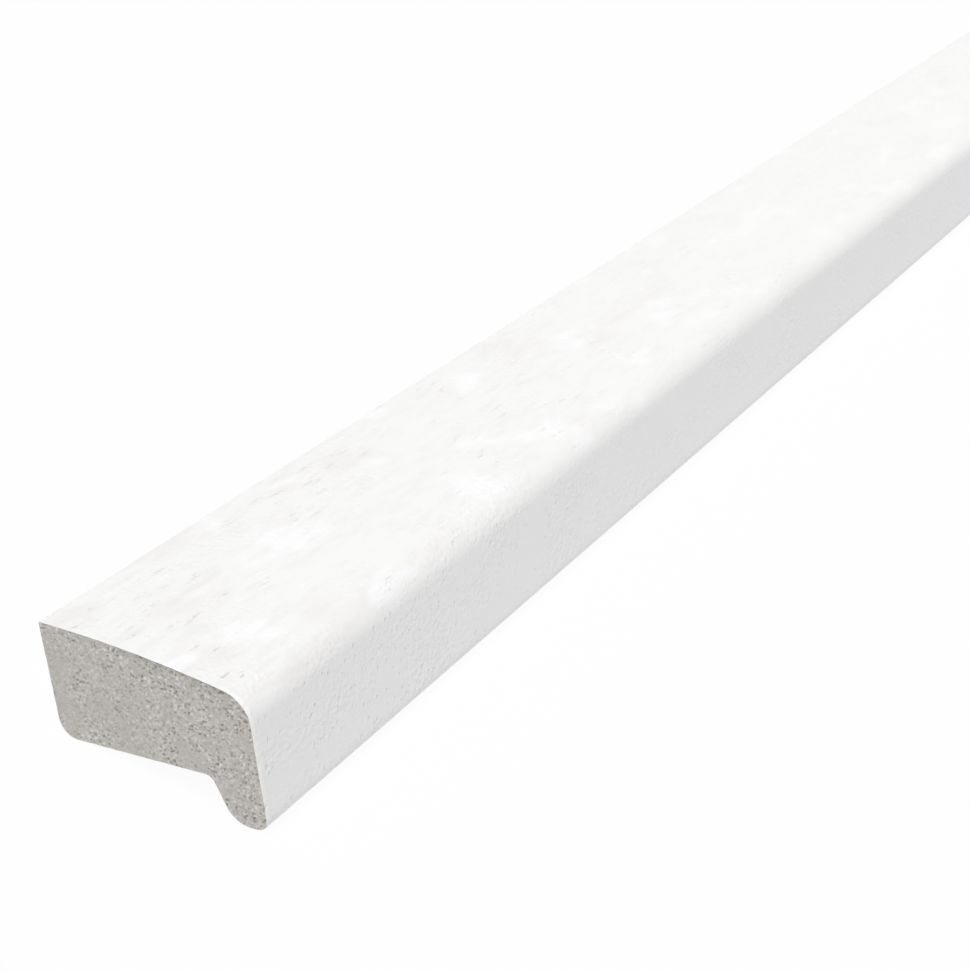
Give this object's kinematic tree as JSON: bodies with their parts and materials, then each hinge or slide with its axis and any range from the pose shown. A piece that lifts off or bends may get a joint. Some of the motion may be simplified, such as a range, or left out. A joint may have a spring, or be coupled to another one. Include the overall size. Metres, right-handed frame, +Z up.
{
  "type": "nosing trim",
  "caption": "Straight white-primed hardwood nosing trim with a sloping crowned top, round nose and hanging drip lip, for capping the front edge of a sill, board or panel.",
  "frame": {"origin": "on the floor that the bar lies on, at mid-length and under the middle of its width", "axes": "+X along the length, -Y towards the nose and lip, +Z up; the section is tipped back 13.32 degrees on to its heel and lip, as the bar lies loose"},
  "size_m": [2.4, 0.045, 0.0231],
  "materials": {
    "primed_hardwood": "matt white factory primer on the long faces, bare sawn end grain on the two ends"
  },
  "bodies": {
    "root": {"nosing_trim": "primed_hardwood"}
  },
  "joints": []
}
